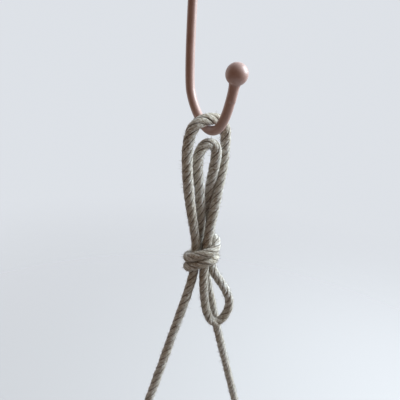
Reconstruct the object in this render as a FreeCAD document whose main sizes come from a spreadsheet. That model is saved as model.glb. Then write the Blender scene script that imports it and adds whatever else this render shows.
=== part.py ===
import FreeCAD, Part

# Hanging planter: a ball-ended ceiling hook, one laid rope tied up in a bound shortening knot,
# and a knotted cord cradle that holds a tapered pot on a round steel ring.
# Millimetres, +Z up. The origin is the centre of the ceiling plate's top face.

import math
import os

import Sketcher

from FreeCAD import Placement, Rotation, Vector

doc = FreeCAD.newDocument("hanging_planter")
sheet = doc.addObject("Spreadsheet::Sheet", "Sizes")

sizes = {
    "plateRadius": 22,
    "plateThick": 4,
    "collarRadius": 6.5,
    "collarLength": 12,
    "screwRadius": 2.1,
    "screwCircle": 14,
    "screwCount": 3,
    "rodRadius": 3,
    "ballRadius": 6.6,
    "ballReach": 4.6,  # from the rod's end to the ball's centre
    "neckStartRadius": 3.2,
    "neckEndRadius": 3.8,
    "neckLength": 8,
    "neckBack": 9,  # from the ball's centre back to the neck's start
    "socketBack": 19,
    "hookTurn": 50,  # degrees that the hook's plane is turned from +X towards -Y
    "seatReach": 27.5,  # from the shank to the lowest point of the hook
    "seatDepth": 107,  # rod's centre line at that point, below the ceiling
    "ropeDiameter": 6.5,
    "loopTurn": 38,  # degrees that the rope's plane is turned from +X towards +Y
    "bindRadius": 13,
    "bindShift": 0.7,
    "bindTop": 185,
    "bindLength": 22,
    "ringRadius": 85,
    "ringRodRadius": 3,
    "ringDepth": 436,
    "eyeClearance": 0.5,
    "legLean": 19.2,  # degrees from plumb
    "legStraight": 28,  # the leg's last two places, above the ring rod
    "legFoot": 9,
    "seizingRadius": 9,
    "seizingLength": 14,
    "seizingStart": 12.5,
    "potTopRadius": 62,
    "potFootRadius": 44,
    "potHeight": 112,
    "potWall": 5,
    "potFloor": 7,
    "potRimDepth": 440,
    "cordDiameter": 3.5,
    "cordCount": 6,
    "hitchRadius": 4.85,
    "hitchThickness": 2.3,
    "sideKnotDepth": 486,
    "sideKnotReach": 59.1,
    "sideKnotHigh": 5.2,
    "sideKnotWide": 6.4,
    "lowKnotDepth": 524,
    "lowKnotReach": 53.6,
    "lowKnotHigh": 5,
    "lowKnotWide": 6.2,
    "gatherDepth": 565,
    "gatherRadius": 8.5,
    "gatherLength": 18,
    "tasselLength": 62,
    "tasselRadius": 12,
    "tasselNeck": 7,
}
for row, (name, value) in enumerate(sizes.items(), start=1):
    sheet.set(f"A{row}", name)
    sheet.set(f"B{row}", str(value))
    sheet.setAlias(f"B{row}", name)
doc.recompute()

nodes = {}


def size(name):
    return float(getattr(sheet, name))


def keep(name, thing):
    thing.Label = name
    nodes[name] = thing
    return thing


def bind(thing, **expressions):
    for prop, text in expressions.items():
        thing.setExpression(prop, text)
    return thing


hookTurn = math.radians(size("hookTurn"))
loopTurn = math.radians(size("loopTurn"))
legLean = math.radians(size("legLean"))
hookWay = Vector(math.cos(hookTurn), -math.sin(hookTurn), 0)
loopWay = Vector(math.cos(loopTurn), math.sin(loopTurn), 0)
loopSide = Vector(math.sin(loopTurn), -math.cos(loopTurn), 0)
plumb = hookWay * size("seatReach")


def belowSeat(points):
    """Points given from the plumb line under the hook's seat, as places in the part."""
    return [plumb + Vector(*point) for point in points]


def originPlane(body, role):
    return next(f for f in body.Origin.OriginFeatures if f.Role == role)


def newSketch(body, name, role="XY_Plane"):
    sketch = body.newObject("Sketcher::SketchObject", name)
    sketch.AttachmentSupport = [(originPlane(body, role), "")]
    sketch.MapMode = "FlatFace"
    return sketch


def circleSketch(body, name, radius, across="0"):
    """A circle on the body's XY plane, its radius and its distance along X bound to the sheet."""
    sketch = newSketch(body, name)
    sketch.addGeometry(Part.Circle(Vector(1, 0, 0), Vector(0, 0, 1), 1))
    sketch.addConstraint(Sketcher.Constraint("Radius", 0, 1))
    sketch.setExpression("Constraints[0]", radius)
    sketch.addConstraint(Sketcher.Constraint("PointOnObject", 0, 3, -1))
    if across == "0":
        sketch.addConstraint(Sketcher.Constraint("PointOnObject", 0, 3, -2))
    else:
        sketch.addConstraint(Sketcher.Constraint("DistanceX", -1, 1, 0, 3, 1))
        sketch.setExpression("Constraints[2]", across)
    return sketch


def outlineSketch(body, name, corners):
    """A closed outline on the XZ plane; each corner's X and Y are bound to the sheet."""
    sketch = newSketch(body, name, "XZ_Plane")
    # any places do to start with, as long as no two sides lie in line
    start = [Vector(1 + i, i * i, 0) for i in range(len(corners))]
    for i, point in enumerate(start):
        sketch.addGeometry(Part.LineSegment(point, start[(i + 1) % len(start)]))
    for i in range(len(corners)):
        sketch.addConstraint(Sketcher.Constraint("Coincident", i, 2, (i + 1) % len(corners), 1))
    for i, (x, y) in enumerate(corners):
        for kind, text in (("DistanceX", x), ("DistanceY", y)):
            if text == "0":
                axis = -2 if kind == "DistanceX" else -1
                sketch.addConstraint(Sketcher.Constraint("PointOnObject", i, 1, axis))
            else:
                number = sketch.addConstraint(Sketcher.Constraint(kind, -1, 1, i, 1, 1.0 + i))
                sketch.setExpression(f"Constraints[{number}]", text)
    return sketch


# Ceiling plate: a round plate with a collar under it and three open screw holes.
plate = keep("ceiling_plate", doc.addObject("PartDesign::Body", "CeilingPlate"))
pads = (
    ("Plate", "Sizes.plateRadius", "Sizes.plateThick"),
    ("Collar", "Sizes.collarRadius", "Sizes.collarLength"),
)
for name, radius, length in pads:
    disc = circleSketch(plate, name + "Circle", radius)
    pad = plate.newObject("PartDesign::Pad", name + "Pad")
    pad.Profile = disc
    pad.Reversed = True
    bind(pad, Length=length)
holes = (
    ("RodSeat", "Sizes.rodRadius", "0"),
    ("Screw", "Sizes.screwRadius", "Sizes.screwCircle"),
)
for name, radius, across in holes:
    disc = circleSketch(plate, name + "Circle", radius, across)
    pocket = plate.newObject("PartDesign::Pocket", name + "Pocket")
    pocket.Profile = disc
    pocket.Type = "ThroughAll"
    doc.recompute()
pattern = plate.newObject("PartDesign::PolarPattern", "ScrewPattern")
pattern.Originals = [pocket]
pattern.Axis = (originPlane(plate, "Z_Axis"), [""])
pattern.Angle = 360
bind(pattern, Occurrences="Sizes.screwCount")
plate.Tip = pattern
doc.recompute()


arcShare = 0.45  # of the shorter run beside each point


def roundedPath(points):
    """Straight runs joined by tangent arcs, each as large as its two runs allow; also the arcs' radii."""
    edges = []
    radii = []
    last = points[0]
    for i in range(1, len(points) - 1):
        before = points[i - 1] - points[i]
        after = points[i + 1] - points[i]
        corner = before.getAngle(after)
        reach = arcShare * min(before.Length, after.Length)
        radius = reach * math.tan(corner / 2)
        before.normalize()
        after.normalize()
        start = points[i] + before * reach
        end = points[i] + after * reach
        inward = (before + after).normalize()
        middle = points[i] + inward * (radius / math.sin(corner / 2) - radius)
        edges.append(Part.LineSegment(last, start).toShape())
        edges.append(Part.Arc(start, middle, end).toShape())
        radii.append(round(radius, 1))
        last = end
    edges.append(Part.LineSegment(last, points[-1]).toShape())
    return Part.Wire(edges), radii


def tube(name, points, diameter):
    """A round cord or rod along the rounded path."""
    wire, radii = roundedPath(points)
    way = (points[1] - points[0]).normalize()
    ring = Part.Wire([Part.Edge(Part.Circle(points[0], way, diameter / 2))])
    shape = wire.makePipeShell([ring], True, False)
    share = shape.Volume / (math.pi * diameter**2 / 4 * wire.Length)
    print(f"{name}: length {wire.Length:.1f}, volume {share:.4f} of section x length, radii {radii}")
    return shape


def feature(name, shape):
    thing = doc.addObject("Part::Feature", "".join(word.title() for word in name.split("_")))
    thing.Shape = shape
    thing.Placement = Placement()
    return keep(name, thing)


# Hook: one bent rod in a vertical plane, its tip leaning outwards, with a ball on the end.
hookRoute = [(0, 0), (0, 75), (8.5, 95), (26, 109.3), (41, 100.5), (45.2, 76)]
hookPoints = [hookWay * reach + Vector(0, 0, -drop) for reach, drop in hookRoute]
feature("hook_rod", tube("hook_rod", hookPoints, 2 * size("rodRadius")))

tipWay = (hookPoints[-1] - hookPoints[-2]).normalize()
ballCentre = hookPoints[-1] + tipWay * size("ballReach")
tipTurn = Rotation(Vector(0, 0, 1), tipWay)
ball = bind(doc.addObject("Part::Sphere", "Ball"), Radius="Sizes.ballRadius")
ball.Placement = Placement(ballCentre, tipTurn)
neck = bind(doc.addObject("Part::Cone", "BallNeck"), Radius1="Sizes.neckStartRadius",
            Radius2="Sizes.neckEndRadius", Height="Sizes.neckLength")
neck.Placement = Placement(ballCentre - tipWay * size("neckBack"), tipTurn)
knob = doc.addObject("Part::Fuse", "BallWithNeck")
knob.Base = ball
knob.Tool = neck
socket = bind(doc.addObject("Part::Cylinder", "BallSocket"), Radius="Sizes.rodRadius",
              Height="Sizes.socketBack - Sizes.ballReach")
socket.Placement = Placement(ballCentre - tipWay * size("socketBack"), tipTurn)
end = keep("ball_end", doc.addObject("Part::Cut", "BallEnd"))
end.Base = knob
end.Tool = socket

# The rope: one length of laid rope. Each stretch between knots is a node of its own.
rope = size("ropeDiameter")
hookLoopRoute = [
    (-3.2, -3.3, -186), (-5, -4, -176), (-8.3, -6, -161), (-11.1, -8.6, -145),
    (-13, -10.6, -128), (-13.5, -11, -114.5), (-11.3, -9.2, -103.8), (-4.7, -3.8, -99.3),
    (3.7, 2.9, -99.1), (9.8, 7.7, -105.5), (10.7, 8.1, -117), (10, 5.6, -133),
    (8.6, 1.7, -146.5), (6.6, -1.5, -161), (4.9, -2.9, -175), (4.1, -3.3, -186),
]
spareLoopRoute = [
    (-1.4, 3.6, -186), (-1, 3, -176), (-2.1, 0.7, -163), (-3.6, -2.2, -149),
    (-5.6, -4, -136), (-6.9, -4.5, -124.5), (-5.2, -3.6, -118), (-1.9, -2, -114.6),
    (2.1, -0.4, -114.6), (4.8, 0.8, -118), (5.2, 1, -124.5), (3.6, 1.6, -136),
    (2.6, 3.6, -147), (3.6, 5.2, -161), (5.4, 6, -175), (5, 5.6, -186),
]
tailLoopRoute = [
    (3.4, -4.3, -205), (4.1, -4.4, -214.5), (5.6, -3.8, -228), (8, -2.7, -240),
    (12.4, -1, -250.2), (18.8, 1.8, -251.6), (24.2, 3.8, -245), (25.6, 4, -235.5),
    (22.8, 2.4, -226), (17, 0.6, -216.5), (11.4, -0.2, -208.5), (9.3, -0.4, -205),
]
leftLegRoute = [(-3.1, -2.6, -205), (-4.6, -3.4, -214), (-8, -6.2, -229.5)]
rightLegRoute = [
    (4.2, 5.4, -205), (5.2, 6.4, -212), (8.2, 8, -226), (13, 10.8, -244), (18.8, 14.7, -268),
]
loops = (("hook_loop", hookLoopRoute), ("spare_loop", spareLoopRoute), ("tail_loop", tailLoopRoute))
for name, route in loops:
    feature(name, tube(name, belowSeat(route), rope))

# Binding: the rope's own turns round its four strands.
binding = keep("binding", bind(doc.addObject("Part::Cylinder", "Binding"), Radius="Sizes.bindRadius",
                               Height="Sizes.bindLength"))
bindFoot = Vector(size("bindShift"), 0, -size("bindTop") - size("bindLength"))
binding.Placement = Placement(plumb + bindFoot, Rotation())

# Legs: each runs taut to the ring, goes round it in an eye and is seized back on itself.
ringCentre = plumb + Vector(0, 0, -size("ringDepth"))
for side, name, route in ((-1, "left", leftLegRoute), (1, "right", rightLegRoute)):
    upLeg = loopWay * (-side * math.sin(legLean)) + Vector(0, 0, math.cos(legLean))
    across = loopWay * (-side * math.cos(legLean)) - Vector(0, 0, math.sin(legLean))
    eyeCentre = ringCentre + loopWay * (side * size("ringRadius"))
    legEnd = [eyeCentre + across * (rope / 2) + upLeg * size(above) for above in ("legStraight", "legFoot")]
    feature(name + "_leg", tube(name + "_leg", belowSeat(route) + legEnd, rope))
    eye = keep(name + "_eye", doc.addObject("Part::Torus", name.title() + "Eye"))
    bind(eye, Radius1="Sizes.ringRodRadius + Sizes.eyeClearance + Sizes.ropeDiameter / 2",
         Radius2="Sizes.ropeDiameter / 2")
    eye.Placement = Placement(eyeCentre, Rotation(Vector(0, 0, 1), loopSide))
    seizing = keep(name + "_seizing", doc.addObject("Part::Cylinder", name.title() + "Seizing"))
    bind(seizing, Radius="Sizes.seizingRadius", Height="Sizes.seizingLength")
    seizing.Placement = Placement(eyeCentre + upLeg * size("seizingStart"), Rotation(Vector(0, 0, 1), upLeg))

# Ring that carries the cradle.
ring = keep("cradle_ring", doc.addObject("Part::Torus", "CradleRing"))
bind(ring, Radius1="Sizes.ringRadius", Radius2="Sizes.ringRodRadius")
ring.Placement = Placement(ringCentre, Rotation())


def roundAxis(angle, reach, height):
    """A place at that angle from the loop's plane, that far from the plumb line and at that height."""
    turn = loopTurn + math.radians(angle)
    return plumb + Vector(reach * math.cos(turn), reach * math.sin(turn), height)


# Cradle cords: each is folded over the ring in a hitch, and its halves run down the pot,
# meet a neighbour's half in a side knot, meet each other in a low knot and go in under the pot.
# A half's places: degrees from the cord's middle, reach from the plumb line, height.
netCordRoute = [
    (1.6, 85, -439.6), (4, 83, -445.6), (28.1, 57.5, -486), (15, 55.1, -506), (2.4, 52, -524),
    (2.4, 50.4, -546), (2.6, 46.4, -555.4), (4, 30, -555.6), (9, 12, -558.4), (12, 7.2, -567),
]
cord = size("cordDiameter")
count = int(size("cordCount"))
step = 360 / count
for k in range(count):
    middle = (k + 0.5) * step
    halves = []
    for way in (-1, 1):
        places = [roundAxis(middle + way * angle, reach, height) for angle, reach, height in netCordRoute]
        halves.append(tube(f"net_cord_{k + 1}", places, cord))
    feature(f"net_cord_{k + 1}", Part.Compound(halves))
    hitch = keep(f"ring_hitch_{k + 1}", doc.addObject("Part::Torus", f"RingHitch{k + 1}"))
    bind(hitch, Radius1="Sizes.hitchRadius", Radius2="Sizes.hitchThickness")
    tangent = roundAxis(middle + 90, 1, 0) - plumb
    hitch.Placement = Placement(roundAxis(middle, size("ringRadius"), -size("ringDepth")),
                                Rotation(Vector(0, 0, 1), tangent))
    for kind, angle in (("side", k * step), ("low", middle)):
        knot = keep(f"{kind}_knot_{k + 1}", doc.addObject("Part::Ellipsoid", f"{kind.title()}Knot{k + 1}"))
        bind(knot, Radius1=f"Sizes.{kind}KnotWide", Radius2="Sizes.cordDiameter",
             Radius3=f"Sizes.{kind}KnotHigh")
        place = roundAxis(angle, size(kind + "KnotReach"), -size(kind + "KnotDepth"))
        knot.Placement = Placement(place, Rotation(Vector(0, 0, 1), math.degrees(loopTurn) + angle))

# Gathering wrap and tassel under the pot.
gather = keep("gathering_wrap", doc.addObject("Part::Cylinder", "GatheringWrap"))
bind(gather, Radius="Sizes.gatherRadius", Height="Sizes.gatherLength")
gatherFoot = -size("gatherDepth") - size("gatherLength")
gather.Placement = Placement(plumb + Vector(0, 0, gatherFoot), Rotation())
tassel = keep("tassel", doc.addObject("Part::Cone", "Tassel"))
bind(tassel, Radius1="Sizes.tasselRadius", Radius2="Sizes.tasselNeck", Height="Sizes.tasselLength")
tassel.Placement = Placement(plumb + Vector(0, 0, gatherFoot - size("tasselLength")), Rotation())

# Pot: a tapered turned shell with a thick floor.
pot = keep("pot", doc.addObject("PartDesign::Body", "Pot"))
slope = "(Sizes.potTopRadius - Sizes.potFootRadius) / Sizes.potHeight"
outline = outlineSketch(pot, "PotOutline", [
    ("0", "0"),
    ("Sizes.potFootRadius", "0"),
    ("Sizes.potTopRadius", "Sizes.potHeight"),
    ("Sizes.potTopRadius - Sizes.potWall", "Sizes.potHeight"),
    (f"Sizes.potFootRadius - Sizes.potWall + {slope} * Sizes.potFloor", "Sizes.potFloor"),
    ("0", "Sizes.potFloor"),
])
shell = pot.newObject("PartDesign::Revolution", "PotShell")
shell.Profile = outline
shell.ReferenceAxis = (outline, ["V_Axis"])
shell.Angle = 360
pot.Placement = Placement(plumb + Vector(0, 0, -size("potRimDepth") - size("potHeight")), Rotation())

doc.recompute()

bad = [thing.Name for thing in doc.Objects if {"Invalid", "Error"} & set(thing.State)]
if bad:
    raise SystemExit(f"these objects failed: {bad}")
for name, thing in nodes.items():
    if thing.Shape.isNull() or not thing.Shape.isValid():
        raise SystemExit(f"{name} has no valid shape")

os.makedirs("parts", exist_ok=True)
for name, thing in nodes.items():
    thing.Shape.exportStep(f"parts/{name}.step")
print(len(nodes), "nodes written")
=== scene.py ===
import math

import bmesh
import bpy
import numpy as np
from mathutils import Matrix, Vector


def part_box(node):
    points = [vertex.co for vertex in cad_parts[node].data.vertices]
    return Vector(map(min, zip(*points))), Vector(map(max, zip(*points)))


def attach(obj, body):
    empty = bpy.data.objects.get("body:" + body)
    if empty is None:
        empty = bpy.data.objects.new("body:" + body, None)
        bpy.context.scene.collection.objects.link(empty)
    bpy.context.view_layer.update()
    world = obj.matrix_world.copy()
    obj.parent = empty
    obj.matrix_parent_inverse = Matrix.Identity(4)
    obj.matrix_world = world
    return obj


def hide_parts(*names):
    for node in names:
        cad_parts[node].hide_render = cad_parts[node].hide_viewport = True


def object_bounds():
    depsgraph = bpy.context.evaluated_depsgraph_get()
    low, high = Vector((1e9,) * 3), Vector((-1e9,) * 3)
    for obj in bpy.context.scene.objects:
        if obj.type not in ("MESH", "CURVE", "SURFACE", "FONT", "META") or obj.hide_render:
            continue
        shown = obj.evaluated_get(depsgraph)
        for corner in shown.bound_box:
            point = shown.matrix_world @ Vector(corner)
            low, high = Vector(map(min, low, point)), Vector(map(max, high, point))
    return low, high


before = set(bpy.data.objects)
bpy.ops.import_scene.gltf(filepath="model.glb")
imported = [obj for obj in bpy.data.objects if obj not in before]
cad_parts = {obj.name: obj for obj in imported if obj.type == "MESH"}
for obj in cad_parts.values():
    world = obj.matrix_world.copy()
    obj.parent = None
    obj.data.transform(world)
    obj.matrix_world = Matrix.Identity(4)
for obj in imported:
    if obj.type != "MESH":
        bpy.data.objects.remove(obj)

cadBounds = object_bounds()
scene = bpy.context.scene
scene.view_settings.view_transform = "Standard"
down = np.array((0.0, 0.0, -1.0))

# Camera: close under the ceiling, looking down at the knot
cameraLook = {
    "place": (0.0145, -0.2614, -0.0662),
    "downTilt": 20,  # degrees
    "roll": 4.6,
    "lens": 34.2,
}


def makeCamera(look):
    tilt, roll = math.radians(look["downTilt"]), math.radians(look["roll"])
    forward = Vector((0, math.cos(tilt), -math.sin(tilt)))
    level = Vector((0, math.sin(tilt), math.cos(tilt)))
    right = Vector((1, 0, 0)) * math.cos(roll) + level * math.sin(roll)
    turn = Matrix((right, right.cross(forward), -forward)).transposed()
    camera = bpy.data.objects.new("camera", bpy.data.cameras.new("camera"))
    scene.collection.objects.link(camera)
    camera.data.lens = look["lens"]
    camera.data.clip_start = 0.01
    camera.matrix_world = Matrix.Translation(look["place"]) @ turn.to_4x4()
    scene.camera = camera


makeCamera(cameraLook)


def middle(node):
    low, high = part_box(node)
    return np.array((low + high) / 2)


# Where things are, read from the frame
ringMiddle = middle("cradle_ring")
plumb = np.array((ringMiddle[0], ringMiddle[1], 0.0))
legPlane = middle("right_eye") - middle("left_eye")
ringRadius = np.linalg.norm(legPlane) / 2
loopWay = legPlane / np.linalg.norm(legPlane)
loopSide = np.cross(loopWay, -down)


# Lines and tubes
def smoothLine(places, perSpan=24):
    curve = bpy.data.curves.new("mould", "CURVE")
    curve.dimensions = "3D"
    curve.resolution_u = perSpan
    spline = curve.splines.new("NURBS")
    spline.points.add(len(places) - 1)
    for point, place in zip(spline.points, places):
        point.co = (*place, 1)
    spline.order_u = 3
    spline.use_endpoint_u = True
    mould = bpy.data.objects.new("mould", curve)
    mesh = bpy.data.meshes.new_from_object(mould)
    line = np.array([v.co for v in mesh.vertices])
    bpy.data.objects.remove(mould)
    bpy.data.meshes.remove(mesh)
    return line


def evenly(line, step):
    along = np.concatenate([[0], np.cumsum(np.linalg.norm(np.diff(line, axis=0), axis=1))])
    marks = np.linspace(0, along[-1], max(3, round(along[-1] / step) + 1))
    return np.stack([np.interp(marks, along, line[:, k]) for k in range(3)], axis=1), marks


def alongLine(line):
    # the line's way at each place, and two ways across it that turn as little as they can
    way = np.gradient(line, axis=0)
    way /= np.linalg.norm(way, axis=1)[:, None]
    side = np.empty_like(way)
    first = np.cross(way[0], (0.31, 0.22, 0.92))
    side[0] = first / np.linalg.norm(first)
    for i in range(1, len(way)):
        carried = side[i - 1] - way[i] * np.dot(side[i - 1], way[i])
        side[i] = carried / np.linalg.norm(carried)
    return way, side, np.cross(way, side)


def meshPiece(name, vertices, faces, material, smooth=True):
    mesh = bpy.data.meshes.new(name)
    mesh.from_pydata([tuple(v) for v in vertices], [], faces)
    mesh.materials.append(material)
    mesh.polygons.foreach_set("use_smooth", [smooth] * len(mesh.polygons))
    mesh.update()
    piece = bpy.data.objects.new(name, mesh)
    scene.collection.objects.link(piece)
    return piece


def arcPoints(centre, radius, start, end, count=7):
    angles = np.radians(np.linspace(start, end, count))
    return [(centre[0] + radius * math.cos(a), centre[1] + radius * math.sin(a)) for a in angles]


def tubeFaces(rings, around, closedEnds=True):
    here = np.arange(rings - 1)[:, None] * around + np.arange(around)[None, :]
    beside = np.arange(rings - 1)[:, None] * around + (np.arange(around)[None, :] + 1) % around
    quads = np.stack([here, beside, beside + around, here + around], axis=-1).reshape(-1, 4)
    faces = quads.tolist()
    if closedEnds:
        faces.append(list(range(around))[::-1])
        faces.append(list(range((rings - 1) * around, rings * around)))
    return faces


# Materials
def newMaterial(name):
    material = bpy.data.materials.new(name)
    material.use_nodes = True
    nodes, links = material.node_tree.nodes, material.node_tree.links
    return material, nodes, links, nodes["Principled BSDF"]


def ramp(nodes, stops):
    node = nodes.new("ShaderNodeValToRGB")
    while len(node.color_ramp.elements) < len(stops):
        node.color_ramp.elements.new(0.5)
    for element, (place, colour) in zip(node.color_ramp.elements, stops):
        element.position = place
        element.color = (*colour, 1)
    return node


def noiseTexture(nodes, links, vector, scale, detail=3, roughness=0.6):
    node = nodes.new("ShaderNodeTexNoise")
    node.inputs["Scale"].default_value = scale
    node.inputs["Detail"].default_value = detail
    node.inputs["Roughness"].default_value = roughness
    links.new(vector, node.inputs["Vector"])
    return node.outputs["Fac"]


def mixColour(nodes, links, kind, amount, first, second):
    node = nodes.new("ShaderNodeMix")
    node.data_type = "RGBA"
    node.blend_type = kind
    for socket, value in ((node.inputs[0], amount), (node.inputs[6], first), (node.inputs[7], second)):
        if isinstance(value, bpy.types.NodeSocket):
            links.new(value, socket)
        else:
            socket.default_value = value
    return node.outputs[2]


def weighedSum(nodes, links, parts):
    total = None
    for value, share in parts:
        node = nodes.new("ShaderNodeMath")
        node.operation = "MULTIPLY_ADD"
        links.new(value, node.inputs[0])
        node.inputs[1].default_value = share
        node.inputs[2].default_value = 0
        if total:
            links.new(total, node.inputs[2])
        total = node.outputs[0]
    return total


def bump(nodes, links, height, distance, strength=1.0, under=None):
    node = nodes.new("ShaderNodeBump")
    node.inputs["Distance"].default_value = distance
    node.inputs["Strength"].default_value = strength
    links.new(height, node.inputs["Height"])
    if under:
        links.new(under, node.inputs["Normal"])
    return node.outputs["Normal"]


ropeFinish = {
    "dark": (0.115, 0.070, 0.040),
    "middle": (0.455, 0.42, 0.36),
    "pale": (0.76, 0.79, 0.795),
    # painted shade: the dark colour put into the creases between the strands
    "grooveShade": (0.05, 0.033, 0.02),
    "roughness": 0.92,
}


def laidFibre(name, look, size):
    # size: the rope's diameter, which the yarns' width follows
    material, nodes, links, shader = newMaterial(name)
    fibre = nodes.new("ShaderNodeAttribute")
    fibre.attribute_name = "fibre"
    yarn = nodes.new("ShaderNodeMapping")
    yarn.inputs["Scale"].default_value = (9 / size, 9 / size, 0.9 / size)
    links.new(fibre.outputs["Vector"], yarn.inputs["Vector"])
    hair = nodes.new("ShaderNodeMapping")
    hair.inputs["Scale"].default_value = (20 / size, 20 / size, 7 / size)
    links.new(fibre.outputs["Vector"], hair.inputs["Vector"])
    speck = nodes.new("ShaderNodeMapping")
    speck.inputs["Scale"].default_value = (11 / size, 11 / size, 5 / size)
    links.new(fibre.outputs["Vector"], speck.inputs["Vector"])
    yarns = noiseTexture(nodes, links, yarn.outputs["Vector"], 1, 2, 0.5)
    hairs = noiseTexture(nodes, links, hair.outputs["Vector"], 1, 3, 0.65)
    place = nodes.new("ShaderNodeTexCoord")
    blotch = noiseTexture(nodes, links, place.outputs["Object"], 60, 4, 0.6)
    specks = noiseTexture(nodes, links, speck.outputs["Vector"], 1, 3, 0.75)
    shades = ramp(nodes, [(0.41, look["dark"]), (0.49, look["middle"]), (0.59, look["pale"])])
    mixed = weighedSum(nodes, links, ((hairs, 0.30), (yarns, 0.14), (specks, 0.56)))
    links.new(mixed, shades.inputs["Fac"])
    tint = ramp(nodes, [(0.35, (0.78, 0.72, 0.62)), (0.65, (1.0, 1.0, 1.0))])
    links.new(blotch, tint.inputs["Fac"])
    colour = mixColour(nodes, links, "MULTIPLY", 0.8, shades.outputs["Color"], tint.outputs["Color"])
    # painted shade: the creases between strands are darkened towards the crease colour, most where they
    # are deepest
    grooveShade = nodes.new("ShaderNodeAttribute")
    grooveShade.attribute_name = "grooveShade"
    paintedShadeMask = ramp(nodes, [(0.42, (0, 0, 0)), (0.82, (0.92, 0.92, 0.92))])
    links.new(grooveShade.outputs["Fac"], paintedShadeMask.inputs["Fac"])
    colour = mixColour(nodes, links, "MIX", paintedShadeMask.outputs["Color"], colour, (*look["grooveShade"], 1))
    links.new(colour, shader.inputs["Base Color"])
    shader.inputs["Roughness"].default_value = look["roughness"]
    shader.inputs["Sheen Weight"].default_value = 0.25
    shader.inputs["Sheen Roughness"].default_value = 0.5
    shader.inputs["Specular IOR Level"].default_value = 0.25
    big = bump(nodes, links, yarns, size * 0.03, 0.7)
    links.new(bump(nodes, links, hairs, size * 0.03, 0.7, under=big), shader.inputs["Normal"])
    return material


def looseHair(name, look):
    material, nodes, links, shader = newMaterial(name)
    place = nodes.new("ShaderNodeTexCoord")
    patch = noiseTexture(nodes, links, place.outputs["Object"], 900, 2)
    shades = ramp(nodes, [(0.35, look["dark"]), (0.65, look["middle"])])
    links.new(patch, shades.inputs["Fac"])
    links.new(shades.outputs["Color"], shader.inputs["Base Color"])
    shader.inputs["Roughness"].default_value = 0.8
    return material


paintFinish = {
    "colour": (0.335, 0.195, 0.16),
    "worn": (0.385, 0.24, 0.20),
    "roughness": 0.43,
    "coat": 0.22,
}


def satinPaint(name, look):
    material, nodes, links, shader = newMaterial(name)
    place = nodes.new("ShaderNodeTexCoord")
    cloud = noiseTexture(nodes, links, place.outputs["Object"], 90, 4)
    shades = ramp(nodes, [(0.35, look["colour"]), (0.7, look["worn"])])
    links.new(cloud, shades.inputs["Fac"])
    links.new(shades.outputs["Color"], shader.inputs["Base Color"])
    gloss = nodes.new("ShaderNodeMapRange")
    gloss.inputs["To Min"].default_value = look["roughness"] - 0.06
    gloss.inputs["To Max"].default_value = look["roughness"] + 0.10
    links.new(cloud, gloss.inputs["Value"])
    links.new(gloss.outputs["Result"], shader.inputs["Roughness"])
    shader.inputs["Coat Weight"].default_value = look["coat"]
    shader.inputs["Coat Roughness"].default_value = 0.42
    shader.inputs["Coat IOR"].default_value = 1.6
    shader.inputs["Specular IOR Level"].default_value = 0.6
    peel = noiseTexture(nodes, links, place.outputs["Object"], 1400, 2, 0.5)
    links.new(bump(nodes, links, peel, 0.00005, 0.5), shader.inputs["Normal"])
    return material


potFinish = {
    "clay": (0.62, 0.58, 0.52),
    "pale": (0.74, 0.71, 0.66),
    "speck": (0.16, 0.11, 0.08),
    "roughness": 0.72,
}


def speckledClay(name, look):
    material, nodes, links, shader = newMaterial(name)
    place = nodes.new("ShaderNodeTexCoord")
    cloud = noiseTexture(nodes, links, place.outputs["Object"], 22, 5)
    shades = ramp(nodes, [(0.35, look["clay"]), (0.65, look["pale"])])
    links.new(cloud, shades.inputs["Fac"])
    specks = nodes.new("ShaderNodeTexVoronoi")
    specks.inputs["Scale"].default_value = 260
    links.new(place.outputs["Object"], specks.inputs["Vector"])
    dots = ramp(nodes, [(0.10, (1, 1, 1)), (0.17, (0, 0, 0))])
    links.new(specks.outputs["Distance"], dots.inputs["Fac"])
    some = ramp(nodes, [(0.52, (0, 0, 0)), (0.56, (1, 1, 1))])
    links.new(noiseTexture(nodes, links, place.outputs["Object"], 150, 2), some.inputs["Fac"])
    few = mixColour(nodes, links, "MULTIPLY", 1, dots.outputs["Color"], some.outputs["Color"])
    colour = mixColour(nodes, links, "MIX", few, shades.outputs["Color"], (*look["speck"], 1))
    links.new(colour, shader.inputs["Base Color"])
    shader.inputs["Roughness"].default_value = look["roughness"]
    grain = noiseTexture(nodes, links, place.outputs["Object"], 700, 4)
    links.new(bump(nodes, links, grain, 0.0003, 0.5), shader.inputs["Normal"])
    return material


# Laid rope
rope = {
    "diameter": 0.0065,
    "lay": 0.026,  # one full turn of a strand
    "strands": 4,
    "strandShare": 0.79,  # a strand's radius as a share of the rope's
    "pointsPerStrand": 12,
    "step": 0.0007,
    "yarnTurns": -0.4,  # turns of the yarns in a strand for each turn of the lay
    "uneven": 0.03,
    "crease": 0.08,
    "creaseWidth": 0.11,
}
cord = {
    "diameter": 0.0035,
    "lay": 0.0105,
    "strands": 3,
    "strandShare": 0.66,
    "pointsPerStrand": 8,
    "step": 0.0008,
    "yarnTurns": -0.4,
    "uneven": 0.04,
    "crease": 0.05,
    "creaseWidth": 0.2,
}


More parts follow.
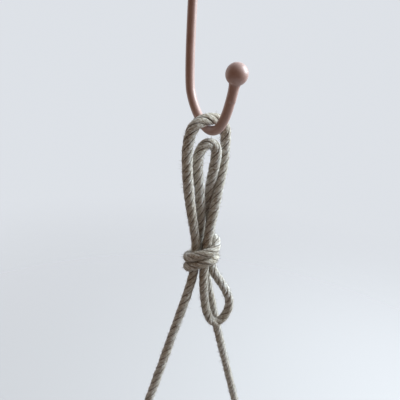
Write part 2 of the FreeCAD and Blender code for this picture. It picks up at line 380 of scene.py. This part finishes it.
def laidRope(name, line, look, material, seed, squeeze=None, startTurn=0.0):
    line, along = evenly(line, look["step"])
    way, side, back = alongLine(line)
    each = look["pointsPerStrand"]
    strands = look["strands"]
    around = strands * each
    turn = np.arange(around) * 2 * math.pi / around
    half = math.pi / strands
    fromCrest = (turn + half) % (2 * half) - half
    outer = look["diameter"] / 2
    strand = outer * look["strandShare"]
    offset = outer - strand
    reach = offset * np.cos(fromCrest) + np.sqrt(strand**2 - (offset * np.sin(fromCrest)) ** 2)
    crease = np.exp(-((half - np.abs(fromCrest)) / look["creaseWidth"]) ** 2)
    reach -= crease * look["crease"] * outer
    depth = (outer - reach) / (outer - reach.min())
    random = np.random.default_rng(seed)
    count = len(line)
    wobble = random.normal(0, 1, (count // 6 + 3, strands))
    knots = np.arange(count) / 6
    marks = np.arange(len(wobble))
    perStrand = np.stack([np.interp(knots, marks, wobble[:, k]) for k in range(strands)], axis=1)
    number = (np.arange(around) + each // 2) // each % strands
    rough = random.normal(0, look["uneven"] / 2, (count, around))
    swell = 1 + look["uneven"] * perStrand[:, number] + rough
    if squeeze is not None:
        swell = swell * squeeze(line)[:, None]
    twist = startTurn + 2 * math.pi * along / look["lay"]
    angle = turn[None, :] + twist[:, None]
    radial = side[:, None] * np.cos(angle)[..., None] + back[:, None] * np.sin(angle)[..., None]
    vertices = line[:, None, :] + radial * (reach[None, :] * swell)[..., None]
    piece = meshPiece(name, vertices.reshape(-1, 3), tubeFaces(count, around), material)
    own = np.arctan2(reach * np.sin(fromCrest), reach * np.cos(fromCrest) - offset)
    spin = own[None, :] + (look["yarnTurns"] * twist)[:, None]
    fibre = np.stack([
        np.cos(spin) * strand + number[None, :] * 0.02,
        np.sin(spin) * strand,
        np.repeat(along[:, None], around, axis=1),
    ], axis=-1)
    piece.data.attributes.new("fibre", "FLOAT_VECTOR", "POINT").data.foreach_set("vector", fibre.ravel())
    # the depth into the crease between strands, kept as the mask for the painted shade in the grooves
    paintedShadeDepth = np.tile(depth, count)
    piece.data.attributes.new("grooveShade", "FLOAT", "POINT").data.foreach_set("value", paintedShadeDepth)
    return piece, line


def strayHairs(name, line, look, material, seed):
    # short fibres that stand off the rope
    line, along = evenly(line, 0.001)
    way, side, back = alongLine(line)
    random = np.random.default_rng(seed)
    count = int(along[-1] * look["perMetre"])
    root = random.integers(1, len(line) - 1, count)
    turn = random.uniform(0, 2 * math.pi, count)
    out = side[root] * np.cos(turn)[:, None] + back[root] * np.sin(turn)[:, None]
    lean = way[root] * random.uniform(-1.2, 1.2, count)[:, None]
    aim = out * random.uniform(0.25, 1.0, count)[:, None] + lean + random.normal(0, 0.3, (count, 3))
    aim /= np.linalg.norm(aim, axis=1)[:, None]
    curl = random.normal(0, 0.65, (count, 3))
    length = look["length"] * random.uniform(0.35, 1.0, count) ** 1.3
    thick = look["thick"] * random.uniform(0.6, 1.2, count)
    start = line[root] + out * look["rootAt"]
    across = np.cross(aim, curl)
    across /= np.linalg.norm(across, axis=1)[:, None]
    other = np.cross(aim, across)
    stations = ((0.0, 1.0), (0.45, 0.8), (1.0, 0.35))
    rings = []
    for share, width in stations:
        centre = start + aim * (length * share)[:, None] + curl * (length * share**2 * 0.45)[:, None]
        for corner in range(3):
            swing = corner * 2 * math.pi / 3
            edge = across * math.cos(swing) + other * math.sin(swing)
            rings.append(centre + edge * (thick * width)[:, None])
    vertices = np.stack(rings, axis=1).reshape(-1, 3)
    pattern = tubeFaces(len(stations), 3)
    perHair = 3 * len(stations)
    faces = [tuple(perHair * i + k for k in face) for i in range(count) for face in pattern]
    return meshPiece(name, vertices, faces, material)


ropeFibre = laidFibre("ropeFibre", ropeFinish, rope["diameter"])
cordFibre = laidFibre("cordFibre", ropeFinish, cord["diameter"])
hairFibre = looseHair("hairFibre", ropeFinish)
hookPaint = satinPaint("hookPaint", paintFinish)

# The hanger: one rope. Places are from the plumb line under the hook's seat, in metres.
hookLoopRoute = [
    (-0.0032, -0.0033, -0.186), (-0.005, -0.004, -0.176), (-0.0083, -0.006, -0.161),
    (-0.0111, -0.0086, -0.145), (-0.013, -0.0106, -0.128), (-0.0135, -0.011, -0.1145),
    (-0.0113, -0.0092, -0.1038), (-0.0047, -0.0038, -0.0993), (0.0037, 0.0029, -0.0991),
    (0.0098, 0.0077, -0.1055), (0.0107, 0.0081, -0.117), (0.01, 0.0056, -0.133),
    (0.0086, 0.0017, -0.1465), (0.0066, -0.0015, -0.161), (0.0049, -0.0029, -0.175),
    (0.0041, -0.0033, -0.186),
]
spareLoopRoute = [
    (-0.0014, 0.0036, -0.186), (-0.0010, 0.0030, -0.176), (-0.0021, 0.0007, -0.163),
    (-0.0036, -0.0022, -0.149), (-0.0056, -0.004, -0.136), (-0.0069, -0.0045, -0.1245),
    (-0.0052, -0.0036, -0.118), (-0.0019, -0.002, -0.1146), (0.0021, -0.0004, -0.1146),
    (0.0048, 0.0008, -0.118), (0.0052, 0.001, -0.1245), (0.0036, 0.0016, -0.136),
    (0.0026, 0.0036, -0.147), (0.0036, 0.0052, -0.161), (0.0054, 0.0060, -0.175),
    (0.0050, 0.0056, -0.186),
]
tailLoopRoute = [
    (0.0034, -0.0043, -0.205), (0.0041, -0.0044, -0.2145), (0.0056, -0.0038, -0.228),
    (0.008, -0.0027, -0.24), (0.0124, -0.001, -0.2502), (0.0188, 0.0018, -0.2516),
    (0.0242, 0.0038, -0.245), (0.0256, 0.004, -0.2355), (0.0228, 0.0024, -0.226),
    (0.017, 0.0006, -0.2165), (0.0114, -0.0002, -0.2085), (0.0093, -0.0004, -0.205),
]
leftLegRoute = [(-0.0031, -0.0026, -0.205), (-0.0046, -0.0034, -0.214), (-0.008, -0.0062, -0.2295)]
rightLegRoute = [
    (0.0042, 0.0054, -0.205), (0.0052, 0.0064, -0.212), (0.0082, 0.008, -0.226),
    (0.013, 0.0108, -0.244), (0.0188, 0.0147, -0.268),
]
bindingRoute = [
    (0.0090, 0.0036, -0.1995), (0.0080, 0.0084, -0.1940), (0.0077, 0.0093, -0.1886),
    (0.0080, 0.0083, -0.1852), (0.0092, 0.0052, -0.1832), (0.0107, 0.0010, -0.1840),
    (0.0106, -0.0046, -0.1864), (0.0072, -0.0090, -0.1880), (0.0008, -0.0104, -0.1894),
    (-0.0056, -0.0082, -0.1930), (-0.0092, -0.0016, -0.1972), (-0.0080, 0.0066, -0.1986),
    (-0.0010, 0.0126, -0.1988), (0.0070, 0.0114, -0.1978), (0.0112, 0.0036, -0.1956),
    (0.0102, -0.0054, -0.1944), (0.0058, -0.0096, -0.1946), (0.0004, -0.0104, -0.1966),
    (-0.0054, -0.0080, -0.2006), (-0.0086, -0.0014, -0.2048), (-0.0076, 0.0042, -0.2058),
    (-0.0052, 0.0070, -0.2056), (-0.0028, 0.0082, -0.2034), (-0.0016, 0.0074, -0.1996),
    (-0.0015, 0.0054, -0.1938),
]
legEnd = {
    "lean": math.radians(19.2),
    "reaches": (0.028, 0.009),
    "ringRod": 0.003,
    "gap": 0.0005,
    "cutsInside": 0.925,  # the line's radius as a share of its points' radius
    "turns": range(20, -201, -44),  # degrees
    "tail": (0.009, 0.019, 0.0305),
}


def fromPlumb(points):
    return [plumb + np.array(point) for point in points]


def legWays(side):
    # the ring's rod at that side's leg, the way up the leg, and the way across it
    lean = legEnd["lean"]
    upLeg = loopWay * (-side * math.sin(lean)) - down * math.cos(lean)
    across = loopWay * (-side * math.cos(lean)) + down * math.sin(lean)
    return ringMiddle + loopWay * (side * ringRadius), upLeg, across


def eyeRoute(side):
    # from the leg's last straight, round the ring and back up beside the leg
    centre, upLeg, across = legWays(side)
    half = rope["diameter"] / 2
    radius = (legEnd["ringRod"] + legEnd["gap"] + half) / legEnd["cutsInside"]
    leg = [centre + across * half + upLeg * reach for reach in legEnd["reaches"]]
    turns = [math.radians(a) for a in legEnd["turns"]]
    bend = [centre + (across * math.cos(t) + upLeg * math.sin(t)) * radius for t in turns]
    tail = [centre - across * half + upLeg * reach for reach in legEnd["tail"]]
    return leg + bend + tail


hangerPlaces = (
    eyeRoute(-1)[::-1] + fromPlumb(leftLegRoute[::-1]) + fromPlumb(hookLoopRoute)
    + fromPlumb(tailLoopRoute) + fromPlumb(bindingRoute) + fromPlumb(spareLoopRoute)
    + fromPlumb(rightLegRoute) + eyeRoute(1)
)
hangerLine = smoothLine(hangerPlaces)


def fuller(line):
    # the rope is slack and a little fuller above the binding, and most over the hook
    slack = np.clip((line[:, 2] + 0.165) / 0.03, 0, 1)
    bent = np.clip((line[:, 2] + 0.112) / 0.008, 0, 1)
    return 1 + 0.08 * slack + 0.08 * bent


hanger, hangerPath = laidRope("hanger_rope", hangerLine, rope, ropeFibre, seed=4, squeeze=fuller)
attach(hanger, "hanger")
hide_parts("hook_loop", "spare_loop", "tail_loop", "left_leg", "right_leg", "binding",
            "left_eye", "right_eye")

ropeHairs = {"perMetre": 9500, "length": 0.0023, "thick": 0.00011, "rootAt": 0.0029}
hairs = strayHairs("hanger_hairs", hangerLine, ropeHairs, hairFibre, seed=11)
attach(hairs, "hanger")

# Hook
hookWay = plumb / np.linalg.norm(plumb)
hook = {
    "rod": 0.006,
    "route": [(0, 0.001), (0, 0.075), (0.0085, 0.095), (0.026, 0.1093), (0.041, 0.1005), (0.0452, 0.076)],
    "ball": 0.0066,
    "ballReach": 0.0046,  # from the rod's end to the ball's centre
    "ballStart": -58,  # degrees, where the neck meets the ball
    "neck": [  # radius, height from the ball's centre
        (0.0024, -0.0165), (0.0028, -0.0160), (0.00292, -0.0145), (0.00298, -0.0128), (0.00303, -0.0110),
        (0.00307, -0.0094), (0.00312, -0.0080), (0.0032, -0.0069), (0.00334, -0.0062),
    ],
}
hookPlaces = [hookWay * reach + down * drop for reach, drop in hook["route"]]


def roundBar(name, line, radius, material, around=48, step=0.0008):
    line, _ = evenly(line, step)
    way, side, back = alongLine(line)
    turn = np.arange(around) * 2 * math.pi / around
    radial = side[:, None] * np.cos(turn)[None, :, None] + back[:, None] * np.sin(turn)[None, :, None]
    vertices = (line[:, None, :] + radial * radius).reshape(-1, 3)
    return meshPiece(name, vertices, tubeFaces(len(line), around), material)


def turned(name, outline, centre, axis, material, around=64):
    # outline: (radius, height) pairs turned round the axis; open ends at radius 0 are closed to a point
    axis = np.array(axis) / np.linalg.norm(axis)
    side = np.cross(axis, (0.36, 0.81, 0.46))
    side /= np.linalg.norm(side)
    back = np.cross(axis, side)
    turn = np.arange(around) * 2 * math.pi / around
    radial = np.cos(turn)[:, None] * side + np.sin(turn)[:, None] * back
    vertices = np.concatenate([centre + axis * height + radial * max(radius, 1e-6)
                               for radius, height in outline])
    piece = meshPiece(name, vertices, tubeFaces(len(outline), around), material)
    tidy = bmesh.new()
    tidy.from_mesh(piece.data)
    bmesh.ops.remove_doubles(tidy, verts=tidy.verts, dist=5e-6)
    bmesh.ops.recalc_face_normals(tidy, faces=tidy.faces)
    tidy.to_mesh(piece.data)
    tidy.free()
    piece.data.polygons.foreach_set("use_smooth", [True] * len(piece.data.polygons))
    return piece


rod = roundBar("hook_bar", smoothLine(hookPlaces), hook["rod"] / 2, hookPaint)
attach(rod, "hook")
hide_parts("hook_rod")

tipWay = hookPlaces[-1] - hookPlaces[-2]
tipWay /= np.linalg.norm(tipWay)
ballCentre = hookPlaces[-1] + tipWay * hook["ballReach"]
ballOutline = hook["neck"] + arcPoints((0, 0), hook["ball"], hook["ballStart"], 90, 29)
ball = turned("hook_ball", ballOutline, ballCentre, tipWay, hookPaint)
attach(ball, "hook")
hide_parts("ball_end")

# Ceiling plate: turned, with three countersunk screw holes
plateLook = {
    "radius": 0.022,
    "thick": 0.004,
    "collar": 0.0065,
    "collarEnd": 0.012,
    "edge": 0.0008,
    "screws": 3,
    "screwCircle": 0.014,
    "screw": 0.0021,
    "sinkMouth": 0.0042,
    "sinkTop": -0.0021,
    "drillFrom": -0.006,
    "drillTo": 0.002,
}


def ceilingPlate(look):
    edge, collar, thick, length = look["edge"], look["collar"], look["thick"], look["collarEnd"]
    outline = [(0, -length), (collar - edge, -length)]
    outline += arcPoints((collar - edge, -length + edge), edge, -90, 0)
    outline += arcPoints((collar + 2 * edge, -thick - 2 * edge), 2 * edge, 180, 90)
    outline += arcPoints((look["radius"] - 1.5 * edge, -thick + 1.5 * edge), 1.5 * edge, -90, 0)
    outline += [(look["radius"], -edge / 3), (look["radius"] - edge / 3, 0), (0, 0)]
    plate = turned("ceiling_plate_turned", outline, np.zeros(3), (0, 0, 1), hookPaint, around=96)
    for i in range(look["screws"]):
        turn = 2 * math.pi * i / look["screws"]
        place = np.array((math.cos(turn), math.sin(turn), 0)) * look["screwCircle"]
        drillOutline = [
            (0, look["drillFrom"]), (look["sinkMouth"], look["drillFrom"]),
            (look["sinkMouth"], -look["sinkMouth"]), (look["screw"], look["sinkTop"]),
            (look["screw"], look["drillTo"]), (0, look["drillTo"]),
        ]
        drill = turned("drill", drillOutline, place, (0, 0, 1), hookPaint, around=32)
        cutAway(plate, drill)
    return plate


def cutAway(piece, tool):
    cut = piece.modifiers.new("cut", "BOOLEAN")
    cut.operation = "DIFFERENCE"
    cut.solver = "EXACT"
    cut.object = tool
    graph = bpy.context.evaluated_depsgraph_get()
    result = bpy.data.meshes.new_from_object(piece.evaluated_get(graph))
    piece.modifiers.remove(cut)
    piece.data = result
    bpy.data.objects.remove(tool)
    result.shade_smooth()
    result.set_sharp_from_angle(angle=math.radians(35))


plate = ceilingPlate(plateLook)
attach(plate, "hook")
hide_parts("ceiling_plate")
print("hook and ceiling plate")

# Seizings: thin twine wound round each leg and its tail
twine = {
    "diameter": 0.0022,
    "lay": 0.0062,
    "strands": 2,
    "strandShare": 0.66,
    "pointsPerStrand": 9,
    "step": 0.0006,
    "yarnTurns": -0.3,
    "uneven": 0.05,
    "crease": 0.0,
    "creaseWidth": 0.2,
}
seizing = {"turns": 6, "start": 0.0137, "pitch": 1.03}  # pitch in twine diameters
winding = {"perTurn": 8, "pointsReach": 1.06}  # the line cuts inside its points
twineFibre = laidFibre("twineFibre", ropeFinish, twine["diameter"])


def woundRound(centre, up, across, halfWidth, radius, turns, pitch):
    # a twine's places round two strands side by side (halfWidth 0: round one bundle)
    out = np.cross(up, across)
    places = []
    for i in range(turns * winding["perTurn"] + 1):
        turn = 2 * math.pi * i / winding["perTurn"]
        shift = across * (halfWidth * np.sign(round(math.cos(turn), 6)))
        reach = (across * math.cos(turn) + out * math.sin(turn)) * radius * winding["pointsReach"]
        places.append(centre + shift + reach + up * (pitch * i / winding["perTurn"]))
    return places


for side, name in ((-1, "left"), (1, "right")):
    centre, upLeg, across = legWays(side)
    reach = (rope["diameter"] + twine["diameter"]) / 2
    places = woundRound(centre + upLeg * seizing["start"], upLeg, across, rope["diameter"] / 2, reach,
                        seizing["turns"], twine["diameter"] * seizing["pitch"])
    wound, _ = laidRope(name + "_seizing_twine", smoothLine(places), twine, twineFibre, seed=20 + side)
    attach(wound, "hanger")
    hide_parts(name + "_seizing")
print("seizings")

# Cradle ring: a welded steel rod
ringLook = {
    "rod": 0.003,
    "around": 24,
    "steps": 240,
    "weldAt": 100,  # degrees from the right leg
    "weldWidth": 0.0028,
    "weldHeight": 0.00035,
}
ringPaint = satinPaint("ringPaint", paintFinish)


def cradleRing(look):
    vertices = []
    for i in range(look["steps"]):
        turn = 2 * math.pi * i / look["steps"]
        out = loopWay * math.cos(turn) + loopSide * math.sin(turn)
        fromWeld = min(abs(turn - math.radians(look["weldAt"])), 1) * ringRadius
        rod = look["rod"] + look["weldHeight"] * math.exp(-(fromWeld / look["weldWidth"]) ** 2)
        for j in range(look["around"]):
            swing = 2 * math.pi * j / look["around"]
            across = out * (ringRadius + rod * math.cos(swing))
            vertices.append(ringMiddle + across - down * rod * math.sin(swing))
    faces = tubeFaces(look["steps"], look["around"], closedEnds=False)
    last = (look["steps"] - 1) * look["around"]
    for j in range(look["around"]):
        beside = (j + 1) % look["around"]
        faces.append((last + j, last + beside, beside, j))
    return meshPiece("cradle_ring_rod", vertices, faces, ringPaint)


ring = cradleRing(ringLook)
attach(ring, "cradle")
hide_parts("cradle_ring")
print("ring")

# Net: six cords, each folded over the ring and knotted to its neighbours
# Hitch places: along the ring, outwards and up. Half places: degrees, reach and height
net = {
    "cords": 6,
    "hitch": [
        (-0.0019, 0.0049, -0.0055), (-0.0019, 0.0050, 0.0006), (-0.0020, 0.0030, 0.0050),
        (-0.0026, -0.0026, 0.0050), (-0.0036, -0.0052, 0.0004), (-0.0044, -0.0036, -0.0048),
        (-0.0050, 0.0016, -0.0068), (-0.0044, 0.0062, -0.0074), (-0.0022, 0.0084, -0.0076),
    ],
    "half": [
        (4, 0.0835, -0.4480), (28.1, 0.0575, -0.486), (15, 0.0551, -0.506), (2.4, 0.052, -0.524),
        (2.4, 0.0504, -0.546), (2.6, 0.0464, -0.5554), (4, 0.030, -0.5556), (9, 0.012, -0.5584),
        (14, 0.0062, -0.567), (15, 0.0056, -0.583),
    ],
    "tailTurn": 15,
    "tailHeights": (-0.600, -0.618, -0.640),
    "tailReach": 0.0098,
    "pressed": 0.2,
    "pressedEase": 0.012,
}
gatherLow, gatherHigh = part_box("gathering_wrap")
step = 360 / net["cords"]
firstTurn = math.degrees(math.atan2(loopWay[1], loopWay[0]))


def roundPlumb(angle, reach, height):
    turn = math.radians(firstTurn + angle)
    return plumb + np.array((reach * math.cos(turn), reach * math.sin(turn), height))


def hitchPlaces(middleAngle):
    # a lark's head: over the ring, back under it, and across in front of both halves
    out = roundPlumb(middleAngle, 1, 0) - plumb
    along = np.cross((0, 0, 1), out)
    centre = roundPlumb(middleAngle, ringRadius, ringMiddle[2])
    both = net["hitch"] + [(-a, o, h) for a, o, h in net["hitch"][::-1]]
    return [centre + along * a + out * o + np.array((0, 0, h)) for a, o, h in both]


def cordHalf(middleAngle, way, random):
    route = [roundPlumb(middleAngle + way * angle, reach, height) for angle, reach, height in net["half"]]
    high, mid, low = net["tailHeights"]
    swing = middleAngle + way * net["tailTurn"] + random.normal(0, 5)
    reach = net["tailReach"] * random.uniform(0.72, 1.05)
    route.append(roundPlumb(swing, reach * 0.80, high))
    route.append(roundPlumb(swing + random.normal(0, 6), reach, mid))
    route.append(roundPlumb(swing + random.normal(0, 8), reach * random.uniform(0.85, 1.08),
                            low + random.uniform(0, 0.006)))
    return route


def inWrap(line):
    # cords are pressed together inside the gathering wrap
    ease = net["pressedEase"]
    below = np.clip((gatherHigh.z + ease / 2 - line[:, 2]) / ease, 0, 1)
    above = np.clip((line[:, 2] - gatherLow.z + ease * 2 / 3) / ease, 0, 1)
    return 1 - net["pressed"] * below * above


netRandom = np.random.default_rng(7)
tailEnds = []
for k in range(net["cords"]):
    centre = (k + 0.5) * step
    left = cordHalf(centre, -1, netRandom)
    right = cordHalf(centre, 1, netRandom)
    line = smoothLine(left[::-1] + hitchPlaces(centre) + right)
    laid, path = laidRope(f"net_cord_{k + 1}_laid", line, cord, cordFibre, seed=40 + k, squeeze=inWrap)
    tailEnds += [(path[0], path[0] - path[4]), (path[-1], path[-1] - path[-5])]
    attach(laid, "cradle")
    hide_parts(f"net_cord_{k + 1}", f"ring_hitch_{k + 1}")
print("net cords")

knotLook = {"scale": 0.00150, "depth": 1.25, "squash": 0.85, "cord": 0.92}


def cordKnot(name, angle, height, reach, seed, start):
    out = roundPlumb(angle, 1, 0) - plumb
    along = np.cross((0, 0, 1), out)
    centre = roundPlumb(angle, reach, height)
    size = knotLook["scale"]
    places = []
    for i in range(41):
        t = math.pi / 2 + 2 * math.pi * i / 40
        a = (2 + math.cos(3 * t)) * math.cos(2 * t + start)
        h = (2 + math.cos(3 * t)) * math.sin(2 * t + start) * knotLook["squash"]
        o = math.sin(3 * t) * knotLook["depth"]
        places.append(centre + along * a * size + np.array((0, 0, h * size)) + out * o * size)
    look = dict(cord, step=0.0006)
    knot, _ = laidRope(name + "_turns", smoothLine(places, 6), look, cordFibre, seed,
                       squeeze=lambda line: np.full(len(line), knotLook["cord"]))
    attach(knot, "cradle")
    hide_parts(name)


for k in range(net["cords"]):
    for kind, angle in (("side", k * step), ("low", (k + 0.5) * step)):
        node = f"{kind}_knot_{k + 1}"
        place = middle(node)
        reach = float(np.linalg.norm((place - plumb)[:2]))
        cordKnot(node, angle, place[2], reach, 60 + 10 * k, 0.4 * k)
print("net knots")

# Gathering wrap and the tassel's frayed ends
gather = {"turns": 8, "radius": 0.0079, "inset": 0.001}
gatherFoot = np.array((plumb[0], plumb[1], gatherLow.z + gather["inset"]))
gatherPitch = (gatherHigh.z - gatherLow.z - 2 * gather["inset"]) / gather["turns"]
gatherPlaces = woundRound(gatherFoot, -down, loopWay, 0.0, gather["radius"], gather["turns"], gatherPitch)
wrap, _ = laidRope("gathering_wrap_twine", smoothLine(gatherPlaces), twine, twineFibre, seed=90)
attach(wrap, "cradle")
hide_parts("gathering_wrap")

fray = {"perEnd": 46, "length": 0.0085, "thick": 0.00011, "spread": 0.00145, "inside": 0.0022}


def frayedEnds(ends, look, seed):
    random = np.random.default_rng(seed)
    vertices, faces = [], []
    for place, way in ends:
        way = way / np.linalg.norm(way)
        side = np.cross(way, (0.2, 0.9, 0.3))
        side /= np.linalg.norm(side)
        back = np.cross(way, side)
        for _ in range(look["perEnd"]):
            turn = random.uniform(0, 2 * math.pi)
            out = side * math.cos(turn) + back * math.sin(turn)
            reach = look["spread"] * math.sqrt(random.uniform(0, 1))
            room = max(0.003, place[2] - cadBounds[0].z + 0.004)
            length = min(look["length"] * random.uniform(0.5, 1.0), room)
            bend = out * random.uniform(0, 0.0022) + random.normal(0, 0.0006, 3)
            base = len(vertices)
            for share, width in ((0, 1), (0.35, 1), (0.7, 0.85), (1, 0.45)):
                centre = place + out * reach + way * (length * share - look["inside"]) + bend * share**2
                for corner in range(3):
                    swing = corner * 2 * math.pi / 3
                    edge = (side * math.cos(swing) + back * math.sin(swing)) * look["thick"] * width
                    vertices.append(centre + edge)
            faces += [tuple(base + i for i in face) for face in tubeFaces(4, 3)]
    return meshPiece("tassel_ends", vertices, faces, hairFibre)


tassel = frayedEnds(tailEnds, fray, seed=5)
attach(tassel, "cradle")
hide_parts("tassel")
print("tassel")

# Pot: turned stoneware with a rounded rim and a turned foot
potLook = {
    "footRadius": 0.044,
    "wall": 0.005,
    "floor": 0.007,
    "footRound": 0.003,
    "foot": 0.0012,
    "ridge": 0.00022,
    "ridges": 17,
}
clay = speckledClay("potClay", potFinish)


def turnedPot(look):
    low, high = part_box("pot")
    top, foot, tall = (high.x - low.x) / 2, look["footRadius"], high.z - low.z
    lip = look["wall"] / 2
    bottom = look["footRound"]
    side = [(foot - bottom + bottom * math.sin(a), bottom * (1 - math.cos(a)))
            for a in np.radians(np.linspace(0, 82, 9))]
    for height in np.linspace(bottom * 1.3, tall - lip, 90):
        share = height / tall
        ridge = look["ridge"] * math.sin(2 * math.pi * look["ridges"] * share) * math.sin(math.pi * share)
        side.append((foot + (top - foot) * share + ridge - 0.0001, height))
    rim = arcPoints((top - lip, tall - lip), lip, 8, 172, 11)
    inner = [(foot - look["wall"] + (top - foot) * h / tall + 0.0002 * math.sin(h * 900), h)
             for h in np.linspace(tall - lip * 1.4, look["floor"] + 0.006, 50)]
    corner = inner[-1][0]
    inner += [(corner - 0.0012, look["floor"] + 0.003), (corner - 0.004, look["floor"] + 0.0008),
              (corner - 0.008, look["floor"]), (0, look["floor"])]
    under = [(0, look["foot"]), (foot * 0.74, look["foot"]), (foot * 0.78, look["foot"] * 0.3),
             (foot * 0.80, 0), (foot - bottom * 1.3, 0)]
    return turned("pot_turned", under + side + rim + inner, np.array((plumb[0], plumb[1], low.z)),
                  (0, 0, 1), clay, around=128)


pot = turnedPot(potLook)
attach(pot, "pot")
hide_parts("pot")
print("pot")

# Floor and light
floorLook = {
    "drop": 0.03,
    "radius": 1.6,
    "solid": 0.15,  # fades out from here
    "gone": 1.5,
    "colour": (0.425, 0.41, 0.405, 1),
}


def makeFloor(look):
    material, nodes, links, shader = newMaterial("floorPaint")
    shader.inputs["Base Color"].default_value = look["colour"]
    shader.inputs["Roughness"].default_value = 0.9
    place = nodes.new("ShaderNodeTexCoord")
    reach = nodes.new("ShaderNodeVectorMath")
    reach.operation = "LENGTH"
    links.new(place.outputs["Object"], reach.inputs[0])
    fade = nodes.new("ShaderNodeMapRange")
    fade.interpolation_type = "SMOOTHSTEP"
    fade.inputs["From Min"].default_value = look["solid"]
    fade.inputs["From Max"].default_value = look["gone"]
    fade.inputs["To Min"].default_value = 1
    fade.inputs["To Max"].default_value = 0
    links.new(reach.outputs["Value"], fade.inputs["Value"])
    links.new(fade.outputs["Result"], shader.inputs["Alpha"])
    low = cadBounds[0].z - look["drop"]
    turn = np.arange(96) * 2 * math.pi / 96
    rim = np.stack([np.cos(turn), np.sin(turn), 0 * turn], axis=1) * look["radius"]
    floor = meshPiece("floor", rim, [list(range(96))], material)
    floor.location = (plumb[0], plumb[1], low)


makeFloor(floorLook)

lightLook = {
    "backdrop": (0.728, 0.758, 0.802),
    "bright": (1.5, 1.66, 1.84),
    "shade": (0.155, 0.088, 0.047),
    "dusk": (0.255, 0.195, 0.148),
    "brightWay": (0.46, 0.66, 0.62),
    "spread": (-0.55, 0.95),
    "aim": plumb + np.array((0, 0, -0.2)),
    "window": {"place": (1.2, 0.28, 0.62), "size": (0.8, 1.0), "power": 45, "colour": (0.82, 0.93, 1.0)},
    "fill": {"place": (-1.1, 0.6, 0.0), "size": (0.9, 1.2), "power": 3.0, "colour": (0.96, 0.97, 1.0)},
}


def makeWorld(look):
    world = bpy.data.worlds.new("studio")
    scene.world = world
    world.use_nodes = True
    nodes, links = world.node_tree.nodes, world.node_tree.links
    nodes.clear()
    place = nodes.new("ShaderNodeTexCoord")
    facing = nodes.new("ShaderNodeVectorMath")
    facing.operation = "DOT_PRODUCT"
    links.new(place.outputs["Generated"], facing.inputs[0])
    facing.inputs[1].default_value = Vector(look["brightWay"]).normalized()
    spread = nodes.new("ShaderNodeMapRange")
    spread.inputs["From Min"].default_value = look["spread"][0]
    spread.inputs["From Max"].default_value = look["spread"][1]
    links.new(facing.outputs["Value"], spread.inputs["Value"])
    shades = ramp(nodes, [(0.0, look["shade"]), (0.42, look["dusk"]), (0.62, look["backdrop"]),
                          (1.0, look["bright"])])
    links.new(spread.outputs["Result"], shades.inputs["Fac"])
    room = nodes.new("ShaderNodeBackground")
    links.new(shades.outputs["Color"], room.inputs["Color"])
    plain = nodes.new("ShaderNodeBackground")
    plain.inputs["Color"].default_value = (*look["backdrop"], 1)
    seen = nodes.new("ShaderNodeLightPath")
    choose = nodes.new("ShaderNodeMixShader")
    links.new(seen.outputs["Is Camera Ray"], choose.inputs["Fac"])
    links.new(room.outputs[0], choose.inputs[1])
    links.new(plain.outputs[0], choose.inputs[2])
    out = nodes.new("ShaderNodeOutputWorld")
    links.new(choose.outputs[0], out.inputs["Surface"])


makeWorld(lightLook)


def softLight(name, look, aim):
    light = bpy.data.lights.new(name, "AREA")
    light.shape = "RECTANGLE"
    light.size, light.size_y = look["size"]
    light.energy = look["power"]
    light.color = look["colour"]
    lamp = bpy.data.objects.new(name, light)
    scene.collection.objects.link(lamp)
    lamp.location = look["place"]
    lamp.rotation_euler = (Vector(aim) - Vector(look["place"])).to_track_quat("-Z", "Y").to_euler()
    lamp.visible_camera = False


softLight("windowLight", lightLook["window"], lightLook["aim"])
softLight("fillLight", lightLook["fill"], lightLook["aim"])
print("floor and light")
